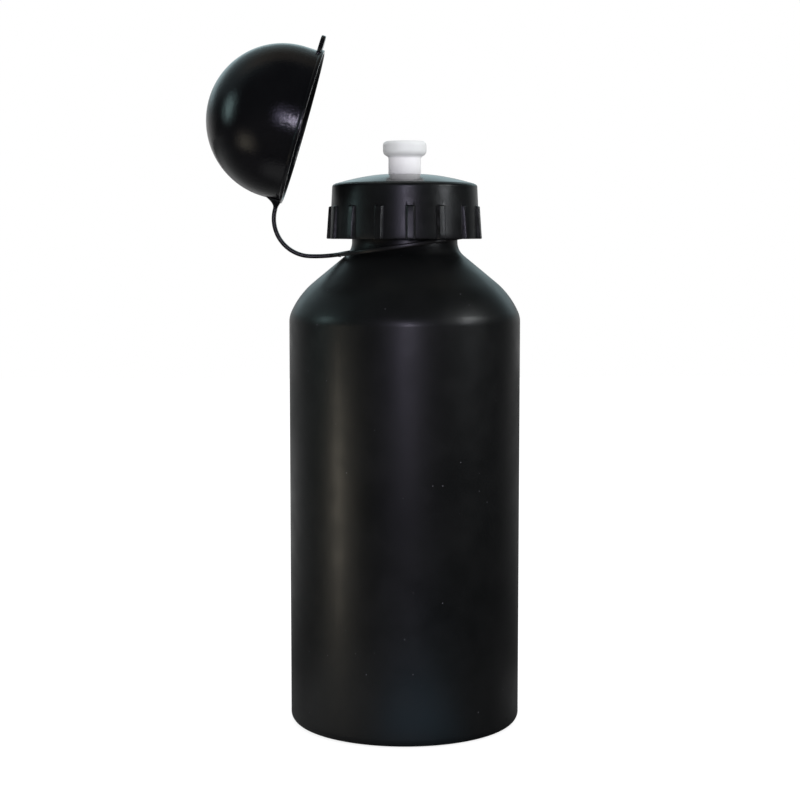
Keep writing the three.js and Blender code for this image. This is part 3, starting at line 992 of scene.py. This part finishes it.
# a rounded rectangle: each wave's sign with a power below one
for name, wave, half in (("side", "COSINE", "halfWidth"), ("rise", "SINE", "halfThickness")):
    strapRows[name + "Wave"] = [wave, "angle"]
    size = ["POWER", ["ABSOLUTE", name + "Wave"], "Squareness"]
    squared = ["MULTIPLY", size, ["SIGN", name + "Wave"]]
    strapRows[name] = ["MULTIPLY", squared, ["sampled", "Geometry", ["named", half], "row"]]
strapRows["x"] = ["MULTIPLY", "rise", ["SINE", "turned"]]
strapRows["z"] = ["MULTIPLY", "rise", ["COSINE", "turned"]]
strapRows["corner"] = ["shift", "centre", ["point", "x", "side", "z"]]
strapRows["moved"] = ["move", ["grid", "count", "lap"], "corner"]
strapRows["shape"] = ["merge", "moved", 1e-6]
strapTree = newShapeTree("flatStrap", strapSizes, strapRows)


def closeEnds(mesh):
    body = bmesh.new()
    body.from_mesh(mesh)
    bmesh.ops.holes_fill(body, edges=body.edges, sides=0)
    body.to_mesh(mesh)
    body.free()


def rowPoint(distance):
    x, z, _ = strapPoint(distance)
    return axisPlace + Vector((x * mm, 0, z * mm))


def makeStrap():
    hinges = [strap["firstHinge"] + i * hingeStep for i in range(strap["links"] + 1)]
    middles = [(a + b) / 2 for a, b in zip(hinges, hinges[1:])]
    cuts = [-0.9, *middles, strapLength + 0.35]
    blends = [(-0.15, 1.2)]
    blends += [(a + 0.3, b - 0.3) for a, b in zip(middles, middles[1:])]
    blends += [(strap["lastHinge"] - 0.7, strap["lastHinge"] + 0.7)]
    for i, (start, end) in enumerate(zip(cuts, cuts[1:])):
        steps = max(4, round((end - start) / strap["spacing"]))
        spots = [start + (end - start) * k / steps for k in range(steps + 1)]
        path = [strapPoint(s) for s in spots]
        line = [(axisPlace.x + x * mm, 0, z * mm) for x, z, _ in path]
        source = bpy.data.meshes.new("strapPath")
        source.from_pydata(line, [(k, k + 1) for k in range(steps)], [])
        flares = [max(0.0, 1 - max(0.0, s + 0.2) / 2.6) ** 2 for s in spots]
        widths = [(strap["width"] + (strap["flare"] - strap["width"]) * f) / 2 * mm for f in flares]
        values = {
            "heading": [h for _, _, h in path],
            "halfWidth": widths,
            "halfThickness": [strap["thickness"] / 2 * mm] * len(spots),
        }
        for label, numbers in values.items():
            source.attributes.new(label, "FLOAT", "POINT").data.foreach_set("value", numbers)
        inputs = {"Around": strap["around"], "Squareness": 0.4, "Finish": finishes["strap"]}
        piece = bakeNodes("tetherStrap" + str(i + 1), source, strapTree, inputs)
        closeEnds(piece.data)
        loose = faceOutwards(piece.data, 50)
        print(piece.name, len(piece.data.polygons), "faces,", loose, "open edges")
        if 0 < i <= strap["links"]:
            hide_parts("tether_link_" + str(i))
        rowPoint(blends[i][0])
        rowPoint(blends[i][1])
        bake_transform(piece)


def makeRing():
    half, r = ring["thickness"] / 2, ring["round"]
    inner, outer = ring["inner"], ring["outer"]
    profile = [
        *arc((outer - r, -half + r), r, -90, 0, 4),
        *arc((outer - r, half - r), r, 0, 90, 4),
        *arc((inner + r, half - r), r, 90, 180, 4),
        *arc((inner + r, -half + r), r, 180, 270, 4),
        (outer - r, -half),
    ]
    place = Matrix.Translation(axisPlace + Vector((0, 0, ringLevel * mm))) @ Matrix.Rotation(
        -math.radians(ring["tilt"]), 4, "Y"
    )
    piece = turnPiece("tetherRing", profile, finishes["strap"], 180, place, 60)
    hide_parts("tether_ring")
    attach(piece, "neck_ring")


makeRing()
makeStrap()


def addPlate(body, loops):
    # joins the loops of points, in millimetres, one to the next and closes both ends
    rings = [[body.verts.new([v * mm for v in p]) for p in loop] for loop in loops]
    for low, high in zip(rings, rings[1:]):
        for k in range(len(low)):
            m = (k + 1) % len(low)
            body.faces.new((low[k], low[m], high[m], high[k]))
    body.faces.new(list(reversed(rings[0])))
    body.faces.new(rings[-1])


def domeExtras():
    # the lifting tab, drawn in the closed cover's own frame: two fillets lead its end into the rim
    body = bmesh.new()
    endRound = dome["tabWidth"] / 2
    end = dome["rimRadius"] + dome["tabReach"] - endRound
    toAxis, toEnd = dome["rimRadius"] + dome["tabFlare"], endRound + dome["tabFlare"]
    x = (toAxis**2 - toEnd**2 + end**2) / (2 * end)
    y = math.sqrt(toAxis**2 - x**2)
    rimTurn, endTurn = math.degrees(math.atan2(y, x)), math.degrees(math.atan2(y, x - end))
    inner = dome["skirtInner"] + 0.3

    def outlineAt(inset):
        # the outline with its free edge drawn in by inset
        return [
            *arc((0, 0), inner, rimTurn, -rimTurn, 16),
            *arc((x, -y), dome["tabFlare"] + inset, 180 - rimTurn, 180 - endTurn, 16),
            *arc((end, 0), endRound - inset, -endTurn, endTurn, 28)[1:],
            *arc((x, y), dome["tabFlare"] + inset, 180 + endTurn, 180 + rimTurn, 16)[1:],
        ]

    low, high = dome["tabRise"], dome["tabRise"] + dome["tabThickness"]
    edge = 0.34
    bevel = arc((0, low + edge), edge, -90, 0, 4) + arc((0, high - edge), edge, 0, 90, 4)
    addPlate(body, [[(*p, z) for p in outlineAt(edge - out)] for out, z in bevel])
    return body


def gussetLoops():
    # rounded sections of the strap's root, from inside the skirt out to the strap's end
    half = strap["thickness"] / 2
    base = max(0.0, dome["rootRise"] - dome["rootHeight"] / 2)
    start, end = dome["skirtInner"] + 0.35, dome["rootRadius"] + 0.35
    loops = []
    for k in range(17):
        t = k / 16
        ease = (1 - t) ** 2.4
        low = (dome["rootRise"] - half) * (1 - ease) + base * ease
        high = (dome["rootRise"] + half) * (1 - ease) + (base + dome["rootHeight"]) * ease
        wide = (strap["width"] + 1.6 * ease) / 2
        loop = []
        for step in range(28):
            turn = 2 * math.pi * step / 28
            side = math.copysign(abs(math.cos(turn)) ** 0.4, math.cos(turn)) * wide
            rise = math.copysign(abs(math.sin(turn)) ** 0.4, math.sin(turn)) * (high - low) / 2
            loop.append((-start - (end - start) * t, side, (low + high) / 2 + rise))
        loops.append(loop)
    return loops


def makeDome():
    top = dome["skirtHeight"]
    inner = dome["skirtInner"]
    rim, high = dome["rimRadius"], dome["rimHeight"]
    # the skirt draws in a little towards the rim, where a small fillet meets the lip
    drop = top - high - 0.25
    slope = math.tan(math.radians(dome["skirtTurn"])) / 2
    skirt = [
        (dome["radius"] - slope * (1 - t) ** 2 * drop, top - (1 - t) * drop)
        for t in np.linspace(0, 1, 9)
    ]
    skirt = [*arc((skirt[0][0] + 0.25, skirt[0][1]), 0.25, 250, 190, 3), *skirt]
    profile = [
        *arc((0, top), dome["radius"] - dome["wall"], 90, 2, 40),
        (inner, top - 1.0),
        (inner, 0.5),
        (inner + 0.12, 0.2),
        (inner + 0.3, 0.03),
        (inner + 0.42, 0),
        *arc((rim - 0.2, 0.2), 0.2, -90, 0, 4),
        *arc((rim - 0.2, high - 0.2), 0.2, 0, 60, 3),
        *skirt,
        *arc((0, top), dome["radius"], 0, 90, 44)[1:],
    ]
    lean = Matrix.Rotation(-math.radians(90 - dome["lean"]), 4, "Y")
    place = Matrix.Translation(domePlace) @ lean
    unmoved = Matrix.Identity(4)
    piece = turnPiece("domeCover", profile, finishes["cover"], dome["columns"], unmoved, 35)
    extras = domeExtras()
    addPlate(extras, gussetLoops())
    bmesh.ops.recalc_face_normals(extras, faces=extras.faces)
    mesh = bpy.data.meshes.new("domeExtras")
    extras.to_mesh(mesh)
    extras.free()
    tool = bpy.data.objects.new("domeExtras", mesh)
    scene.collection.objects.link(tool)
    union = piece.modifiers.new("union", "BOOLEAN")
    union.operation = "UNION"
    union.solver = "EXACT"
    union.object = tool
    bpy.context.view_layer.update()
    evaluated = piece.evaluated_get(bpy.context.evaluated_depsgraph_get())
    joined = bpy.data.meshes.new_from_object(evaluated)
    piece.modifiers.remove(union)
    piece.data = joined
    joined.name = "domeCover"
    bpy.data.objects.remove(tool)
    joined.transform(place)
    joined.materials.clear()
    joined.materials.append(finishes["cover"])
    loose = faceOutwards(joined, 35)
    print("domeCover joined", len(joined.polygons), "faces,", loose, "open edges")
    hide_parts("dome_cover")
    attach(piece, "cover")


strapEnd = strapPoint(strapLength)
leanSin, leanCos = math.sin(math.radians(dome["lean"])), math.cos(math.radians(dome["lean"]))
domePlace = axisPlace + Vector(
    (
        (strapEnd[0] + dome["rootRadius"] * leanSin + dome["rootRise"] * leanCos) * mm,
        0,
        (strapEnd[1] + dome["rootRadius"] * leanCos - dome["rootRise"] * leanSin) * mm,
    )
)
makeDome()
print("dome at", [round(v, 5) for v in domePlace])


# Stage: a pale floor, a white surround and soft lamps. Places are in metres here. A pair of numbers is
# where a change starts and ends, and two more are its values there.
stage = {
    "floorFront": -0.10,
    "floorBack": 1.2,
    "floorSide": 0.9,
    "floorColour": "#e8e8e6",
    "floorGlow": 0.80,  # the share of the floor's white that no shadow takes away
    "shadowed": "#9e9e9e",  # and the rest
    "mirroredFront": 0.04,  # how pale the floor is in reflections in front, where the room dims it
    "mirroredBack": 0.40,  # and behind the bottle
    "mirroredFar": 0.16,
    "rising": (-0.02, 0.4),
    "falling": (0.4, 0.9),
    "rightDim": (0.03, 0.16, 1.0, 0.4),
    "leftDim": (-0.2, -0.6, 1.0, 0.35),
    "footPool": (0.12, 0.05, 0.0, 0.15),  # painted pool of light round the bottle's foot, seen in reflections: far, near, and how pale
    "footDepth": (-0.04, 0.015),
    "patch": (-0.05, -0.042, 0),  # where light falls on the table, left of the foot
    "patchPool": (0.09, 0.02, 0.0, 0.23),
    "coolPatch": (0.020, -0.066, 0),  # daylight on the table in front
    "coolPool": (0.045, 0.01),
    "coolTint": "#81a2b8",
}

# the room that the bottle mirrors, by the direction's parts: x to the right, y to the back, z up
room = {
    "ambient": 1.0,
    "backdrop": (0.97, 0.998),
    "low": (0.1, 0.22),  # the backdrop is lit best above the table
    "high": (0.55, 0.4),
    "forward": (0.55, 0.85),
    "edge": (0.4, 0.97, 0.022, 0.522),  # the dim room gets paler towards the backdrop
    "leftHeight": (0.2, 0.5),
    "leftSide": (0.0, -0.6),
    "leftDepth": (-0.3, 0.2),
    "leftLight": 0.17,
    "topHeight": (0.6, 1.0),
    "topDepth": (0.02, 0.22),
    "topLight": 0.12,  # the warm ceiling
    "upper": (0.0, 0.25),
    "tint": "#d4eef4",
    "topTint": "#fff0dc",
}

lamps = {
    # name: (place, aim, width, height, power, colour)
    "frontLamp": ((0.031, -0.594, 0.178), (-0.02, 0, 0.16), 0.07, 0.045, 0.28, "#efe8ff"),
    "frontPanel": ((-0.03, -0.75, 0.220), (0, 0, 0.10), 0.20, 0.20, 0.13, "#dcd6ff"),
    "frontHaze": ((-0.02, -0.76, 0.225), (0, 0, 0.10), 0.40, 0.42, 0.20, "#dcd6ff"),
    "leftWindow": ((-0.78, -0.03, 0.36), (0, 0, 0.10), 0.15, 0.30, 0.27, "#c2e4e4"),
    "leftShine": ((-0.80, -0.03, 0.37), (0, 0, 0.10), 0.38, 0.48, 0.30, "#c0e6e8"),
    "leftGlow": ((-0.25, -0.125, 0.040), (-0.03, 0, 0.17), 0.10, 0.09, 0.0098, "#fff6dc"),
    "leftHaze": ((-0.252, -0.126, 0.038), (-0.03, 0, 0.17), 0.19, 0.17, 0.0165, "#fff2e0"),
    "tableGlow": ((-0.150, -0.075, 0.040), (-0.008, -0.027, 0.036), 0.03, 0.12, 0.0040, "#fff4de"),
    "rightLamp": ((0.365, -0.20, 0.210), (0.012, 0, 0.13), 0.05, 0.05, 0.11, "#f4f8ff"),
    "rightWindow": ((0.565, -0.215, 0.395), (0, 0, 0.10), 0.16, 0.16, 0.70, "#eef2f2"),
}
spreads = {"tableGlow": 70}  # in degrees, where a lamp doesn't light all round


def makeFloor():
    material = bpy.data.materials.new("paleStudioFloor")
    material.use_nodes = True
    tree = material.node_tree
    tree.nodes.clear()
    front, back, far = stage["mirroredFront"], stage["mirroredBack"], stage["mirroredFar"]
    rows = {
        "rays": ["rays"],
        "seen": ["MAXIMUM", "rays.Is Camera Ray", "rays.Is Transmission Ray"],
        "glow": ["glow", "#ffffff", stage["floorGlow"]],
        "white": ["both", "glow", ["diffuse", stage["shadowed"]]],
        "spot": ["spot"],
        "axes": ["axes", "spot"],
        # in reflections the floor carries painted light: painted shade in front and at the sides, paler
        # behind, and painted pools of light round the foot, left of it and in front
        "rising": ["ease", "axes.Y", *stage["rising"], front, back],
        "lengthways": ["MINIMUM", "rising", ["ease", "axes.Y", *stage["falling"], back, far]],
        "rightwards": ["MULTIPLY", "lengthways", ["ease", "axes.X", *stage["rightDim"]]],
        "open": ["MULTIPLY", "rightwards", ["ease", "axes.X", *stage["leftDim"]]],
        "footPool": ["ease", ["distance", "spot", tuple(axisPlace)], *stage["footPool"]],
        "foot": ["MULTIPLY", "footPool", ["ease", "axes.Y", *stage["footDepth"]]],
        "patch": ["ease", ["distance", "spot", stage["patch"]], *stage["patchPool"]],
        "pale": ["MAXIMUM", ["MAXIMUM", "open", "foot"], "patch"],
        "cool": ["ease", ["distance", "spot", stage["coolPatch"]], *stage["coolPool"]],
        "mirrored": ["diffuse", ["colour", "cool", "pale", stage["coolTint"]]],
        "lit": ["either", "rays.Is Glossy Ray", ["diffuse", stage["floorColour"]], "mirrored"],
        "floor": ["surface", ["either", "seen", "lit", "white"]],
    }
    made = {}
    for label, row in rows.items():
        made[label] = addNode(tree, made, *row)
    side, near, end = stage["floorSide"], stage["floorFront"], stage["floorBack"]
    corners = [(-side, near, 0), (side, near, 0), (side, end, 0), (-side, end, 0)]
    mesh = bpy.data.meshes.new("studioFloor")
    mesh.from_pydata(corners, [], [(0, 1, 2, 3)])
    mesh.materials.append(material)
    floor = bpy.data.objects.new("studioFloor", mesh)
    scene.collection.objects.link(floor)


def makeWorld():
    world = bpy.data.worlds.new("whiteStudio")
    scene.world = world
    world.use_nodes = True
    tree = world.node_tree
    tree.nodes.clear()
    leftRise = ["ease", "axes.Z", *room["leftHeight"]]
    rows = {
        "rays": ["rays"],
        "axes": ["axes", ["direction"]],
        "behind": ["ease", "axes.Y", *room["backdrop"]],
        "band": ["MULTIPLY", ["ease", "axes.Z", *room["low"]], ["ease", "axes.Z", *room["high"]]],
        "above": ["MULTIPLY", "band", ["ease", "axes.Y", *room["forward"]]],
        "leftWall": ["MULTIPLY", leftRise, ["ease", "axes.X", *room["leftSide"]]],
        "leftPart": ["MULTIPLY", "leftWall", ["ease", "axes.Y", *room["leftDepth"]]],
        "left": ["MULTIPLY", "leftPart", room["leftLight"]],
        "topRise": ["ease", "axes.Z", *room["topHeight"]],
        "top": ["MULTIPLY", "topRise", ["ease", "axes.Y", *room["topDepth"]]],
        "walls": ["ADD", ["ease", "axes.Y", *room["edge"]], "left"],
        "dim": ["ADD", "walls", ["MULTIPLY", "top", room["topLight"]]],
        "backdrop": ["MAXIMUM", ["MAXIMUM", "behind", "above"], "dim"],
        "mirrored": ["MAXIMUM", "rays.Is Glossy Ray", "rays.Is Transmission Ray"],
        "unseen": ["level", "mirrored", room["ambient"], "backdrop"],
        "strength": ["level", "rays.Is Camera Ray", "unseen", 1.0],
        "upper": ["MULTIPLY", "rays.Is Glossy Ray", ["ease", "axes.Z", *room["upper"]]],
        "sky": ["colour", "upper", "#ffffff", room["tint"]],
        "tint": ["colour", ["MULTIPLY", "upper", "top"], "sky", room["topTint"]],
        "world": ["surround", ["background", "tint", "strength"]],
    }
    made = {}
    for label, row in rows.items():
        made[label] = addNode(tree, made, *row)


def makeLamps():
    for name, (place, aim, width, height, power, colour) in lamps.items():
        data = bpy.data.lights.new(name, "AREA")
        data.shape = "ELLIPSE"
        data.size, data.size_y = width, height
        data.energy = power
        data.color = toLinear(colour)[:3]
        data.spread = math.radians(spreads.get(name, 180))
        lamp = bpy.data.objects.new(name, data)
        scene.collection.objects.link(lamp)
        lamp.location = place
        lamp.rotation_euler = (Vector(place) - Vector(aim)).to_track_quat("Z", "Y").to_euler()


makeFloor()
makeWorld()
makeLamps()
scene.view_settings.view_transform = "Standard"
print("stage made")
